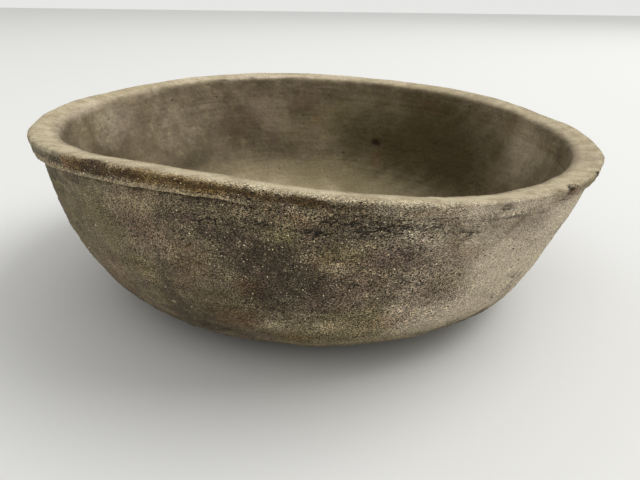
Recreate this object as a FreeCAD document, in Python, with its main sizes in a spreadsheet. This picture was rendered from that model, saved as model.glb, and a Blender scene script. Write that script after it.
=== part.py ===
import FreeCAD, Part
import math
import os
import Sketcher
from FreeCAD import Vector

# A hand-built pottery bowl, open and nearly round, with a thick folded rim.
# It is made of the lumps of clay that a potter joins wet: a base pad, three wall coils
# laid on it one above the other, and a rim band folded down over the top coil.
# The coils meet in slanting scarf joints, and the rim band sits astride the wall's top.
# +Z is up, the origin is the middle of the flat foot, and the photographed side faces -Y.

SIZES = (
    ("rim_radius", 145.0),  # to the lip's outer edge
    ("rim_height", 90.0),  # of the lip's outer edge above the table
    ("lip_width", 13.0),
    ("band_height", 7.5),  # from the lip's outer edge down to the fold's lower edge
    ("fold_depth", 3.8),  # how far the wall meets the fold in from the lip's edge
    ("wall_thickness", 8.5),
    ("foot_radius", 64.0),  # the flat that the bowl stands on
    ("heel_radius", 105.0),  # the rounding from the foot up into the wall
    ("pad_radius", 95.0),  # where the pad ends and the lowest coil begins
    ("floor_thickness", 10.0),
    ("scarf_run", 14.0),  # how far in the pad's slanting joint runs
    ("belly_reach", 29.0),  # how far the heel's slope leads the wall on outside
    ("floor_reach", 33.0),  # and inside
    ("wall_rise", 53.0),  # how far down from the fold the wall keeps its splay
    ("wall_splay", 14.2),  # how far it leans in over that height
)

# How far the potter's hand left the form from a true circle. Each row is the number of
# waves in a turn and their cosine and sine, counted from +X, as shares of a size.
plan_wave_shares = ((2, -0.001, -0.011), (3, -0.005, 0.000))  # of the rim radius
level_wave_shares = (  # of the rim radius, upwards
    (1, -0.028, 0.007),
    (2, -0.018, 0.008),
    (3, 0.008, 0.002),
    (4, 0.000, -0.003),
    (5, -0.003, 0.000),
)
lip_wave_shares = ((1, -0.04, -0.03),)  # of the lip's width
band_wave_shares = ((1, -0.17, 0.29),)  # of the band's height
fold_wave_shares = ((1, -0.23, 0.19),)  # of the fold's depth
belly_wave_shares = ((1, 0.25, 0.03),)  # of the belly's reach
wall_wave_shares = ((1, -0.055, -0.028),)  # of the rim radius, outwards

# The rim band's section from the fold's lower edge over the lip to the inner joint. Each
# row is how far in, as shares of the fold's depth and the lip's width, and how far down,
# as a share of the band's height.
band_section_shares = (
    (0.85, 0.00, 1.13),
    (0.28, 0.00, 1.15),
    (0.26, 0.00, 0.70),
    (-0.06, 0.00, 0.36),
    (-0.08, 0.00, 0.05),
    (0.00, 0.12, -0.07),
    (0.00, 0.45, 0.05),
    (0.00, 0.80, 0.20),
    (0.00, 0.99, 0.30),
    (0.00, 1.03, 0.62),
)
joint_drop_share = 0.9  # the inner joint below the fold, of the wall's thickness
tongue_rise_share = 0.55  # the wall's rounded top above the fold, of the band's height
tongue_lean_share = 0.10  # its sides, in from the joint's edges, of the lip's width
hand_share = 0.8  # how much of the rim's waves reaches the foot of the wall's splay
coil_joint_shares = ((0.42, 0.34), (0.78, 0.70))  # up the outer face, and up the inner

STATIONS = 36  # poles round each ring
RING_DEGREE = 3
SCARF_DEGREE = 1


def make_sizes(doc):
    """The driving dimensions, one cell each, named by alias."""
    sheet = doc.addObject("Spreadsheet::Sheet", "Sizes")
    for row, (name, value) in enumerate(SIZES, start=1):
        sheet.set("A%d" % row, name)
        sheet.set("B%d" % row, str(value))
        sheet.setAlias("B%d" % row, name)
    doc.recompute()
    return sheet


def wave(shares, turn):
    """The sum of a table's waves at an angle round the bowl."""
    total = 0.0
    for order, cosine, sine in shares:
        total += cosine * math.cos(order * turn) + sine * math.sin(order * turn)
    return total


class Form:
    """The bowl's rings of poles, worked out from the sheet."""

    def __init__(self, sheet):
        for name, value in SIZES:
            setattr(self, name, float(sheet.get(name)))
        self.floor_radius = self.heel_radius - self.floor_thickness
        heel_run = self.pad_radius - self.foot_radius
        self.heel_angle = math.asin(heel_run / self.heel_radius)
        self.floor_angle = math.asin((heel_run - self.scarf_run) / self.floor_radius)

    def pad_edge(self, radius, angle):
        """A point of the heel's or the floor's arc: how far out and how high."""
        out = self.foot_radius + radius * math.sin(angle)
        return out, self.heel_radius - radius * math.cos(angle)

    def ring(self, point_at):
        """A closed ring of poles, spread a little so that their curve keeps its radius."""
        spread = 3.0 / (2.0 + math.cos(2.0 * math.pi / STATIONS))
        poles = []
        for station in range(STATIONS):
            turn = 2.0 * math.pi * station / STATIONS
            out, up = point_at(turn)
            poles.append(Vector(spread * out * math.cos(turn), spread * out * math.sin(turn), up))
        return poles

    def edge(self, turn):
        """The lip's outer edge: how far out and how high."""
        out = self.rim_radius * (1.0 + wave(plan_wave_shares, turn))
        return out, self.rim_height + self.rim_radius * wave(level_wave_shares, turn)

    def band_point(self, turn, fold_share, lip_share, band_share):
        """A place on the rim band's section at an angle."""
        out, up = self.edge(turn)
        out -= fold_share * self.fold_depth * (1.0 + wave(fold_wave_shares, turn))
        out -= lip_share * self.lip_width * (1.0 + wave(lip_wave_shares, turn))
        up -= band_share * self.band_height * (1.0 + wave(band_wave_shares, turn))
        return out, up

    def fold(self, turn):
        """Where the band's fold meets the wall outside."""
        return self.band_point(turn, 1.0, 0.0, 1.0)

    def inner_joint(self, turn):
        """Where the rim band ends on the inner face."""
        out, up = self.fold(turn)
        drop = joint_drop_share * self.wall_thickness
        lean = self.wall_splay * drop / self.wall_rise
        return out - self.wall_thickness - lean, up - drop

    def wall_rails(self, seam, slope, reach, top):
        """A wall face: from the pad's edge along its slope, then up to its top."""
        out, up = seam

        def belly(turn):
            led = reach * (1.0 + wave(belly_wave_shares, turn))
            return out + led * math.cos(slope), up + led * math.sin(slope)

        def splay(turn):
            top_out, top_up = top(turn)
            edge_out, edge_up = self.edge(turn)
            calm_out = (1.0 - hand_share) * (edge_out - self.rim_radius)
            calm_up = (1.0 - hand_share) * (edge_up - self.rim_height)
            leant = top_out - self.wall_splay + self.rim_radius * wave(wall_wave_shares, turn)
            return leant - calm_out, top_up - self.wall_rise - calm_up

        return [self.ring(lambda turn: seam), self.ring(belly), self.ring(splay), self.ring(top)]

    def outer_rails(self):
        """The wall's outer face, from the pad's edge up to the fold."""
        seam = self.pad_edge(self.heel_radius, self.heel_angle)
        return self.wall_rails(seam, self.heel_angle, self.belly_reach, self.fold)

    def inner_rails(self):
        """The wall's inner face, from the floor up to the rim band."""
        seam = self.pad_edge(self.floor_radius, self.floor_angle)
        return self.wall_rails(seam, self.floor_angle, self.floor_reach, self.inner_joint)

    def band_rails(self):
        """The rim band's outside, from the fold over the lip to the inner joint."""
        rails = [self.ring(self.fold)]
        for shares in band_section_shares:
            rails.append(self.ring(lambda turn: self.band_point(turn, *shares)))
        rails.append(self.ring(self.inner_joint))
        return rails

    def tongue_rails(self):
        """The wall's rounded top, which the rim band sits astride."""

        def outer_side(turn):
            return self.band_point(turn, 1.0, tongue_lean_share, 1.0 - tongue_rise_share)

        def inner_side(turn):
            out, up = self.band_point(turn, 1.0, -tongue_lean_share, 1.0 - tongue_rise_share)
            return out - self.wall_thickness, up

        return [
            self.ring(self.fold),
            self.ring(outer_side),
            self.ring(inner_side),
            self.ring(self.inner_joint),
        ]


def skin(rails, degree):
    """A closed band of surface with these rings as its poles."""
    poles = [list(column) for column in zip(*rails)]
    spans = len(rails) - degree
    round_knots = [float(knot) for knot in range(STATIONS + 1)]
    round_mults = [1] * (STATIONS + 1)
    up_knots = [float(knot) / spans for knot in range(spans + 1)]
    up_mults = [degree + 1] + [1] * (spans - 1) + [degree + 1]
    surface = Part.BSplineSurface()
    surface.buildFromPolesMultsKnots(
        poles, round_mults, up_mults, round_knots, up_knots, True, False, RING_DEGREE, degree
    )
    return surface


def stretch(surface, low, high):
    """The part of a skin between two shares of the way up it."""
    part = surface.copy()
    part.segment(0.0, float(STATIONS), low, high)
    return part


def scarf(outer, inner, outer_share, inner_share):
    """The slanting joint between the outer skin and the inner one."""
    rings = [outer.vIso(outer_share).getPoles(), inner.vIso(inner_share).getPoles()]
    return skin(rings, SCARF_DEGREE)


def add_piece(doc, name, surfaces):
    """A named piece: the solid that these skins enclose."""
    shell = Part.Shell([surface.toShape() for surface in surfaces])
    shell.sewShape()
    solid = Part.Solid(shell)
    if solid.Volume < 0.0:
        solid.reverse()
    piece = doc.addObject("Part::Feature", name)
    piece.Label = name
    piece.Shape = solid
    piece.Placement = FreeCAD.Placement()
    return piece


def make_base_pad(doc, form):
    """The round pad of clay that is the foot and the floor: a turned section."""
    body = doc.addObject("PartDesign::Body", "base_pad")
    body.Label = "base_pad"
    upright = [plane for plane in body.Origin.OriginFeatures if plane.Role == "XZ_Plane"][0]
    sketch = body.newObject("Sketcher::SketchObject", "pad_section")
    sketch.AttachmentSupport = [(upright, "")]
    sketch.MapMode = "FlatFace"

    foot = Vector(form.foot_radius, 0, 0)
    centre = Vector(form.foot_radius, form.heel_radius, 0)
    seam = Vector(*form.pad_edge(form.heel_radius, form.heel_angle))
    inner_seam = Vector(*form.pad_edge(form.floor_radius, form.floor_angle))
    floor_edge = Vector(form.foot_radius, form.floor_thickness, 0)
    floor_middle = Vector(0, form.floor_thickness, 0)
    down = -math.pi / 2.0
    facing = Vector(0, 0, 1)
    heel = Part.Circle(centre, facing, form.heel_radius)
    floor = Part.Circle(centre, facing, form.floor_radius)
    sketch.addGeometry(
        [
            Part.LineSegment(Vector(0, 0, 0), foot),
            Part.ArcOfCircle(heel, down, down + form.heel_angle),
            Part.LineSegment(seam, inner_seam),
            Part.ArcOfCircle(floor, down, down + form.floor_angle),
            Part.LineSegment(floor_edge, floor_middle),
            Part.LineSegment(floor_middle, Vector(0, 0, 0)),
        ],
        False,
    )
    sketch.addConstraint(
        [
            Sketcher.Constraint("Coincident", 0, 1, -1, 1),
            Sketcher.Constraint("Horizontal", 0),
            Sketcher.Constraint("Tangent", 0, 2, 1, 1),
            Sketcher.Constraint("Coincident", 1, 2, 2, 1),
            Sketcher.Constraint("Coincident", 2, 2, 3, 2),
            Sketcher.Constraint("Coincident", 3, 3, 1, 3),
            Sketcher.Constraint("Tangent", 3, 1, 4, 1),
            Sketcher.Constraint("Horizontal", 4),
            Sketcher.Constraint("Coincident", 4, 2, 5, 1),
            Sketcher.Constraint("Coincident", 5, 2, 0, 1),
            Sketcher.Constraint("Vertical", 5),
        ]
    )
    measures = (
        ("foot", "DistanceX", (0, 1, 0, 2), form.foot_radius, "Sizes.foot_radius"),
        ("heel", "Radius", (1,), form.heel_radius, "Sizes.heel_radius"),
        ("floor", "DistanceY", (5, 2, 5, 1), form.floor_thickness, "Sizes.floor_thickness"),
        ("seam", "DistanceX", (-1, 1, 1, 2), seam.x, "Sizes.pad_radius"),
        ("scarf", "DistanceX", (2, 2, 2, 1), form.scarf_run, "Sizes.scarf_run"),
    )
    for name, kind, places, value, cell in measures:
        index = sketch.addConstraint(Sketcher.Constraint(kind, *places, value))
        sketch.renameConstraint(index, name)
        sketch.setExpression("Constraints." + name, cell)

    turned = body.newObject("PartDesign::Revolution", "turned_pad")
    turned.Profile = sketch
    turned.ReferenceAxis = (sketch, ["V_Axis"])
    turned.Angle = 360.0
    body.Tip = turned
    doc.recompute()
    return body


def make_coils(doc, form):
    """The wall coils and the rim band, each face to face with the piece below it."""
    outer = skin(form.outer_rails(), RING_DEGREE)
    inner = skin(form.inner_rails(), RING_DEGREE)
    tongue = skin(form.tongue_rails(), RING_DEGREE)
    names = ("lower_wall_coil", "middle_wall_coil", "upper_wall_coil")
    ends = [(0.0, 0.0)] + list(coil_joint_shares) + [(1.0, 1.0)]
    joints = [scarf(outer, inner, *end) for end in ends[:-1]] + [tongue]

    pieces = []
    for level, name in enumerate(names):
        low, high = ends[level], ends[level + 1]
        faces = [
            stretch(outer, low[0], high[0]),
            joints[level + 1],
            stretch(inner, low[1], high[1]),
            joints[level],
        ]
        pieces.append(add_piece(doc, name, faces))
    band = skin(form.band_rails(), RING_DEGREE)
    pieces.append(add_piece(doc, "rim_band", [band, tongue]))
    return pieces


def check(doc, pieces):
    """Stops before anything is written if an object failed or a shape isn't sound."""
    for item in doc.Objects:
        if {"Invalid", "Error"} & set(item.State):
            raise RuntimeError("%s failed: %s" % (item.Label, item.State))
    for piece in pieces:
        shape = piece.Shape
        if shape.isNull() or not shape.isValid() or not shape.Solids:
            raise RuntimeError("%s has no sound solid" % piece.Label)
        print("%-16s %9.1f mm3, %s" % (piece.Label, shape.Volume, shape.BoundBox))


def main():
    doc = FreeCAD.newDocument("pottery_bowl")
    sheet = make_sizes(doc)
    form = Form(sheet)
    pieces = [make_base_pad(doc, form)] + make_coils(doc, form)
    doc.recompute()
    check(doc, pieces)
    os.makedirs("parts", exist_ok=True)
    for piece in pieces:
        piece.Shape.exportStep(os.path.join("parts", piece.Label + ".step"))


main()
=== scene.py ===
import math
import bpy
import numpy as np
from types import SimpleNamespace
from mathutils import Matrix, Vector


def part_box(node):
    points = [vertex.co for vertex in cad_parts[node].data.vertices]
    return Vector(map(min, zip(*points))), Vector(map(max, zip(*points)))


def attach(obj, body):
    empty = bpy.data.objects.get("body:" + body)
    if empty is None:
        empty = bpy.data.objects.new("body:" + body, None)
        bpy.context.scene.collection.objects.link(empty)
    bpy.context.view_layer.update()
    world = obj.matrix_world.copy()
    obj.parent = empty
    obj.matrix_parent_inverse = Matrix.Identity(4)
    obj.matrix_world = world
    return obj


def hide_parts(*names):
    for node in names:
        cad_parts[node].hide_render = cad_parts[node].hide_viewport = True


# A hand-built bowl of coarse fired clay: a base pad, three wall coils and a folded rim band.
# One section runs from the foot up the outside, over the lip and down to the floor. Each
# piece is a stretch of it, swept round with the waves that the potter's hand left.

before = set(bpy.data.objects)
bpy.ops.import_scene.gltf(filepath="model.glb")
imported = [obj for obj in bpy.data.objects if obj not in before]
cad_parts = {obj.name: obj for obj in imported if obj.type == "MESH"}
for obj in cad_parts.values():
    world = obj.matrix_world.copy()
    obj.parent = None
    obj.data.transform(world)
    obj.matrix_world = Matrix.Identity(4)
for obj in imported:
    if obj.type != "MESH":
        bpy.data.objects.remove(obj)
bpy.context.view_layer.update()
mm = 0.001

bowl = {
    "rimRadius": 145 * mm,
    "rimHeight": 90 * mm,
    "lipWidth": 13 * mm,
    "bandHeight": 7.5 * mm,
    "foldDepth": 3.8 * mm,
    "wallThickness": 8.5 * mm,
    "footRadius": 64 * mm,
    "heelRadius": 105 * mm,
    "padRadius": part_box("base_pad")[1][0],
    "floorThickness": 10 * mm,
    "scarfRun": 14 * mm,
    "bellyReach": 29 * mm,
    "floorReach": 33 * mm,
    "wallRise": 53 * mm,
    "wallSplay": 14.2 * mm,
    "jointDrop": 0.9,
    "tongueRise": 0.55,
    "tongueLean": 0.10,
    "handShare": 0.8,
    "coilJoints": [(0.42, 0.34), (0.78, 0.70)],
}

# waves in a turn, with their cosine and sine shares
handWaves = {
    "plan": [(2, -0.001, -0.011), (3, -0.005, 0.0)],
    "level": [
        (1, -0.028, 0.007), (2, -0.018, 0.008), (3, 0.008, 0.002),
        (4, 0.0, -0.003), (5, -0.003, 0.0),
    ],
    "wall": [(1, -0.055, -0.028)],
    "belly": [(1, 0.25, 0.03)],
    "lip": [(1, -0.04, -0.03)],
    "fold": [(1, -0.23, 0.19)],
    "band": [(1, -0.17, 0.29)],
}

# how far in by the fold's depth and the lip's width, and how far down by the band's height
bandSection = [
    (0.85, 0.00, 1.13),
    (0.28, 0.00, 1.15),
    (0.26, 0.00, 0.70),
    (-0.06, 0.00, 0.36),
    (-0.08, 0.00, 0.05),
    (0.00, 0.12, -0.07),
    (0.00, 0.45, 0.05),
    (0.00, 0.80, 0.20),
    (0.00, 0.99, 0.30),
    (0.00, 1.03, 0.62),
]

# A place on the section is linear in the waves, so it is kept as its mean place and how
# strongly each wave moves it outwards or upwards. A row of points adds which way it faces, how
# far it is skin, how far down it lies and whether the skin ends there at a joint.
placeParts = ["out", "up", "plan", "wall", "belly", "lip", "fold", "level", "band", "bellyUp"]
rowParts = placeParts + ["faceOut", "faceUp", "skin", "down", "seam"]
wholeSkin = 0.999


def place(**amounts):
    return np.array([amounts.get(part, 0.0) for part in placeParts])


def fadeOf(value, low, high):
    share = np.clip((value - low) / (high - low), 0, 1)
    return share * share * (3 - 2 * share)


def bandPlace(foldShare, lipShare, bandShare):
    radius = bowl["rimRadius"]
    fold = foldShare * bowl["foldDepth"]
    lip = lipShare * bowl["lipWidth"]
    drop = bandShare * bowl["bandHeight"]
    return place(
        out=radius - fold - lip, up=bowl["rimHeight"] - drop,
        plan=radius, level=radius, fold=-fold, lip=-lip, band=-drop,
    )


def wallPlaces(seam, slope, reach, top):
    along = reach * math.cos(slope)
    rise = reach * math.sin(slope)
    belly = seam + place(out=along, up=rise, belly=along, bellyUp=rise)
    calm = (1 - bowl["handShare"]) * bowl["rimRadius"]
    splay = top + place(
        out=-bowl["wallSplay"], up=-bowl["wallRise"],
        wall=bowl["rimRadius"], plan=-calm, level=-calm,
    )
    return [seam, belly, splay, top]


def splineOf(places):
    # clamped, even cubic spline by de Boor's rule
    degree = 3
    spans = len(places) - degree
    knots = [0.0] * degree + [step / spans for step in range(spans + 1)] + [1.0] * degree

    def splineAt(share):
        span = min(int(share * spans), spans - 1) + degree
        blend = [places[span - degree + step] for step in range(degree + 1)]
        for level in range(1, degree + 1):
            for step in range(degree, level - 1, -1):
                low = knots[span - degree + step]
                high = knots[span + 1 + step - level]
                part = (share - low) / (high - low)
                blend[step] = (1 - part) * blend[step - 1] + part * blend[step]
        return blend[degree]

    return splineAt


def arcOf(radius):
    def arcAt(angle):
        return place(
            out=bowl["footRadius"] + radius * math.sin(angle),
            up=bowl["heelRadius"] - radius * math.cos(angle),
        )

    return arcAt


rowSpacing = {
    "outside": 0.80 * mm,
    "inside": 0.90 * mm,
    "rim": 0.62 * mm,
    "floor": 1.9 * mm,
    "foot": 4.2 * mm,
    "joint": 2.8 * mm,
}


def runAlong(places):
    # how far along its line each place lies
    steps = np.hypot(*np.diff(places[:, :2], axis=0).T)
    return np.concatenate([[0.0], np.cumsum(steps)])


def evenRows(kind, curve, low=0.0, high=1.0):
    # places along a curve, about one spacing apart
    shares = np.linspace(low, high, 240)
    run = runAlong(np.array([curve(share) for share in shares]))
    count = max(2, round(run[-1] / rowSpacing[kind]) + 1)
    picked = np.interp(np.linspace(0, run[-1], count), run, shares)
    return np.array([curve(share) for share in picked])


def lineRows(kind, start, end):
    return evenRows(kind, lambda share: (1 - share) * start + share * end)


def sectionStretches():
    # the stretches of skin, and the joint faces between the pieces
    heelRadius = bowl["heelRadius"]
    floorRadius = heelRadius - bowl["floorThickness"]
    heelRun = bowl["padRadius"] - bowl["footRadius"]
    heelAngle = math.asin(heelRun / heelRadius)
    floorAngle = math.asin((heelRun - bowl["scarfRun"]) / floorRadius)
    heelArc, floorArc = arcOf(heelRadius), arcOf(floorRadius)
    seam, floorSeam = heelArc(heelAngle), floorArc(floorAngle)

    fold = bandPlace(1, 0, 1)
    drop = bowl["jointDrop"] * bowl["wallThickness"]
    lean = bowl["wallSplay"] * drop / bowl["wallRise"]
    innerJoint = fold + place(out=-bowl["wallThickness"] - lean, up=-drop)
    outer = splineOf(wallPlaces(seam, heelAngle, bowl["bellyReach"], fold))
    inner = splineOf(wallPlaces(floorSeam, floorAngle, bowl["floorReach"], innerJoint))
    band = splineOf([fold] + [bandPlace(*shares) for shares in bandSection] + [innerJoint])
    tongueTop = bandPlace(1, -bowl["tongueLean"], 1 - bowl["tongueRise"])
    tongue = splineOf([
        fold,
        bandPlace(1, bowl["tongueLean"], 1 - bowl["tongueRise"]),
        tongueTop + place(out=-bowl["wallThickness"]),
        innerJoint,
    ])

    footEdge = place(out=bowl["footRadius"])
    floorMiddle = place(up=bowl["floorThickness"])
    skin = {
        "foot": lineRows("foot", place(), footEdge),
        "heel": evenRows("outside", heelArc, 0.0, heelAngle),
        "rim": evenRows("rim", band),
        "floorRise": evenRows("floor", floorArc, floorAngle, 0.0),
        "floor": lineRows("floor", footEdge + floorMiddle, floorMiddle),
    }
    joints = {"joint0": lineRows("joint", seam, floorSeam), "joint3": evenRows("joint", tongue)}
    ends = [(0.0, 0.0)] + bowl["coilJoints"] + [(1.0, 1.0)]
    for level, (low, high) in enumerate(zip(ends, ends[1:])):
        skin["outside%d" % level] = evenRows("outside", outer, low[0], high[0])
        skin["inside%d" % level] = evenRows("inside", inner, high[1], low[1])
        if level < len(bowl["coilJoints"]):
            joints["joint%d" % (level + 1)] = lineRows("joint", outer(high[0]), inner(high[1]))
    return skin, joints


# the skin in order, from the foot's middle round to the floor's middle
skinOrder = [
    "foot", "heel", "outside0", "outside1", "outside2", "rim",
    "inside2", "inside1", "inside0", "floorRise", "floor",
]


def measureSkin(skin):
    # each row's facing, and how far down it lies from the lip's outer edge: more than 0
    # outside and less than 0 over the lip and inside
    path = np.concatenate([skin[name] for name in skinOrder])[:, :2]
    run = runAlong(path)
    kept = np.concatenate([[True], np.diff(run) > 1e-9])
    away = np.stack([np.gradient(path[kept, axis], run[kept]) for axis in (0, 1)])
    facing = np.stack([np.interp(run, run[kept], side) for side in (away[1], -away[0])])
    facing /= np.linalg.norm(facing, axis=0)
    down = run[np.argmax(path[:, 0])] - run
    ends = np.cumsum([len(skin[name]) for name in skinOrder])[:-1]
    return dict(zip(skinOrder, zip(np.split(facing.T, ends), np.split(down, ends))))


# the stretches of skin that each joint face lies between, at the first's end and the last's start
jointEnds = {
    "joint0": ("heel", "floorRise"),
    "joint1": ("outside0", "inside0"),
    "joint2": ("outside1", "inside1"),
    "joint3": ("outside2", "inside2"),
}
# how far a joint face goes along with the skin there, and over what width
jointHold = {"share": 0.98, "edge": 1.5 * mm}


def measureJoint(name, places, measured):
    # a joint face goes along with the skin near its two edges, so it stays hidden there
    run = runAlong(places)
    near = np.minimum(run, run[-1] - run)
    atEnd = run > run[-1] / 2
    outer, inner = jointEnds[name]
    first = [side[-1] for side in measured[outer]]
    last = [side[0] for side in measured[inner]]
    facing = np.where(atEnd[:, None], last[0], first[0])
    kind = jointHold["share"] * (1 - fadeOf(near, jointHold["edge"], 0.5 * run[-1]))
    return facing, kind, np.where(atEnd, last[1], first[1])


def sectionRows(names, skin, joints, measured):
    # a piece's rows in order, a joint face with a minus before its name from its end to its start
    rows = []
    for name in names:
        if name in skin:
            facing, down = measured[name]
            rows.append(np.column_stack([skin[name], facing, np.ones(len(down)), down]))
        else:
            joint = name.strip("-")
            lining = np.column_stack([joints[joint], *measureJoint(joint, joints[joint], measured)])
            rows.append(lining[-2:0:-1] if name.startswith("-") else lining[1:-1])
    rows = np.concatenate(rows)
    apart = np.hypot(*np.diff(rows[:, :2], axis=0).T) > 1e-7
    rows = rows[np.concatenate([[True], apart])]
    onSkin = (rows[:, rowParts.index("skin")] > wholeSkin).astype(float)
    seam = onSkin * (1 - np.minimum(np.roll(onSkin, 1), np.roll(onSkin, -1)))
    return np.column_stack([rows, seam])


class Wire:
    # a node's output, which makes a math node when it is added, multiplied and so on
    def __init__(self, tree, socket):
        self.tree = tree
        self.socket = socket

    def __add__(self, other):
        return mathNode("ADD", self, other)

    def __sub__(self, other):
        return mathNode("SUBTRACT", self, other)

    def __rsub__(self, other):
        return mathNode("SUBTRACT", other, self)

    def __mul__(self, other):
        return mathNode("MULTIPLY", self, other)

    def __truediv__(self, other):
        return mathNode("DIVIDE", self, other)

    def __rtruediv__(self, other):
        return mathNode("DIVIDE", other, self)

    __radd__ = __add__
    __rmul__ = __mul__


def plug(made, values):
    # wires are linked to a node's inputs, a list of them all to one, and plain values are set
    for key, value in values.items():
        for one in value if isinstance(value, list) else [value]:
            if isinstance(one, Wire):
                one.tree.links.new(one.socket, made.inputs[key])
            else:
                made.inputs[key].default_value = one


def addNode(tree, kind, values=None, outs=(0,), **settings):
    made = tree.nodes.new(kind)
    for name, value in settings.items():
        setattr(made, name, value)
    plug(made, values or {})
    wires = [Wire(tree, made.outputs[key]) for key in outs]
    return wires[0] if len(wires) == 1 else wires


def mathNode(operation, first, second=0.0):
    tree = first.tree if isinstance(first, Wire) else second.tree
    return addNode(tree, "ShaderNodeMath", {0: first, 1: second}, operation=operation)


def vectorNode(operation, first, second):
    return addNode(first.tree, "ShaderNodeVectorMath", {0: first, 1: second}, operation=operation)


def scaled(vector, amount):
    return addNode(vector.tree, "ShaderNodeVectorMath", {0: vector, "Scale": amount}, operation="SCALE")


def combined(x, y, z):
    return addNode(x.tree, "ShaderNodeCombineXYZ", {0: x, 1: y, 2: z})


def split(vector):
    return addNode(vector.tree, "ShaderNodeSeparateXYZ", {0: vector}, outs=(0, 1, 2))


def noise(vector, size, detail=2.0, roughness=0.5, outs=(0,)):
    # a soft noise whose lumps are about one size across
    values = {"Vector": vector, "Scale": 1.0 / size, "Detail": detail, "Roughness": roughness}
    return addNode(vector.tree, "ShaderNodeTexNoise", values, outs)


def pulled(vector, size, amount, detail):
    # the vector moved about by a noise, so that nothing laid out by it is even
    pull = vectorNode("SUBTRACT", noise(vector, size, detail, outs=("Color",)), (0.5, 0.5, 0.5))
    return vectorNode("ADD", vector, scaled(pull, amount))


def cellPoints(vector, size):
    # scattered points about one size apart: how far off the nearest is, and its own chances
    values = {"Vector": vector, "Scale": 1.0 / size}
    away, color = addNode(vector.tree, "ShaderNodeTexVoronoi", values, ("Distance", "Color"))
    return away, split(color)


def signed(value, amount):
    # from 0 and 1 to minus the amount and plus the amount
    return (value * 2.0 - 1.0) * amount


def swung(value, swing, middle=1.0):
    return (value - 0.5) * swing + middle


def fade(value, low, high, first=0.0, last=1.0):
    values = {"Value": value, "From Min": low, "From Max": high, "To Min": first, "To Max": last}
    return addNode(value.tree, "ShaderNodeMapRange", values, interpolation_type="SMOOTHSTEP")


def groupInputs(tree):
    return {socket.name: Wire(tree, socket) for socket in tree.nodes.new("NodeGroupInput").outputs}


def addSocket(tree, way, name, kind):
    return tree.interface.new_socket(name=name, in_out=way, socket_type="NodeSocket" + kind)


def geometryTree(name, inputs):
    # a Geometry Nodes tree and the wires from its inputs, each given by its first value or kind
    tree = bpy.data.node_groups.new(name, "GeometryNodeTree")
    addSocket(tree, "INPUT", "Geometry", "Geometry")
    for label, value in inputs.items():
        if isinstance(value, str):
            addSocket(tree, "INPUT", label, value)
        else:
            kind = "Int" if isinstance(value, int) else "Float"
            addSocket(tree, "INPUT", label, kind).default_value = value
    addSocket(tree, "OUTPUT", "Geometry", "Geometry")
    return tree, groupInputs(tree)


def endTree(shape, material):
    shape = addNode(shape.tree, "GeometryNodeRealizeInstances", {"Geometry": shape})
    shape = addNode(shape.tree, "GeometryNodeSetMaterial", {"Geometry": shape, "Material": material})
    addNode(shape.tree, "NodeGroupOutput", {"Geometry": shape}, outs=())


def addObject(name, data):
    made = bpy.data.objects.new(name, data)
    bpy.context.collection.objects.link(made)
    return made


def runTree(name, mesh, tree, given):
    # what the tree makes of the mesh, kept as a plain mesh of its own
    source = addObject(mesh.name, mesh)
    modifier = source.modifiers.new("tree", "NODES")
    modifier.node_group = tree
    for item in tree.interface.items_tree:
        if item.in_out == "INPUT" and item.name in given:
            modifier[item.identifier] = given[item.name]
    seen = bpy.context.evaluated_depsgraph_get()
    plain = bpy.data.meshes.new_from_object(source.evaluated_get(seen))
    plain.name = name
    bpy.data.objects.remove(source)
    return addObject(name, plain)


def named(tree, name, kind="FLOAT"):
    return addNode(tree, "GeometryNodeInputNamedAttribute", {"Name": name}, data_type=kind)


def stored(shape, name, value, kind="FLOAT"):
    values = {"Geometry": shape, "Name": name, "Value": value}
    return addNode(shape.tree, "GeometryNodeStoreNamedAttribute", values, data_type=kind)


# the potter's finish, in real sizes
finish = {
    "Columns": 960,
    "Rows": 2,
    "Seed": 7,
    "Lump size": 42 * mm,
    "Lump height": 1.2 * mm,
    "Dab size": 13 * mm,
    "Dab height": 0.75 * mm,
    "Drag width": 2.6 * mm,
    "Drag length": 38 * mm,
    "Drag depth": 0.36 * mm,
    "Grain size": 2.1 * mm,
    "Grain height": 0.50 * mm,
    "Pit spacing": 6.5 * mm,
    "Pit depth": 0.95 * mm,
    "Pitless share": 0.62,
    "Lip share": 0.35,
    "Clay": "Material",
}


def waveGroup():
    # one wave of a turn: cosine * cos(order * angle) + sine * sin(order * angle)
    tree = bpy.data.node_groups.new("handWave", "GeometryNodeTree")
    for name in ("Angle", "Order", "Cosine", "Sine"):
        addSocket(tree, "INPUT", name, "Float")
    addSocket(tree, "OUTPUT", "Wave", "Float")
    given = groupInputs(tree)
    turned = given["Angle"] * given["Order"]
    wave = mathNode("SINE", turned) * given["Sine"] + mathNode("COSINE", turned) * given["Cosine"]
    addNode(tree, "NodeGroupOutput", {"Wave": wave}, outs=())
    return tree


def waveSum(angle, group, waves):
    total = 0.0
    for order, cosine, sine in waves:
        values = {"Angle": angle, "Order": float(order), "Cosine": cosine, "Sine": sine}
        total = addNode(angle.tree, "GeometryNodeGroup", values, node_tree=group) + total
    return total


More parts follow.
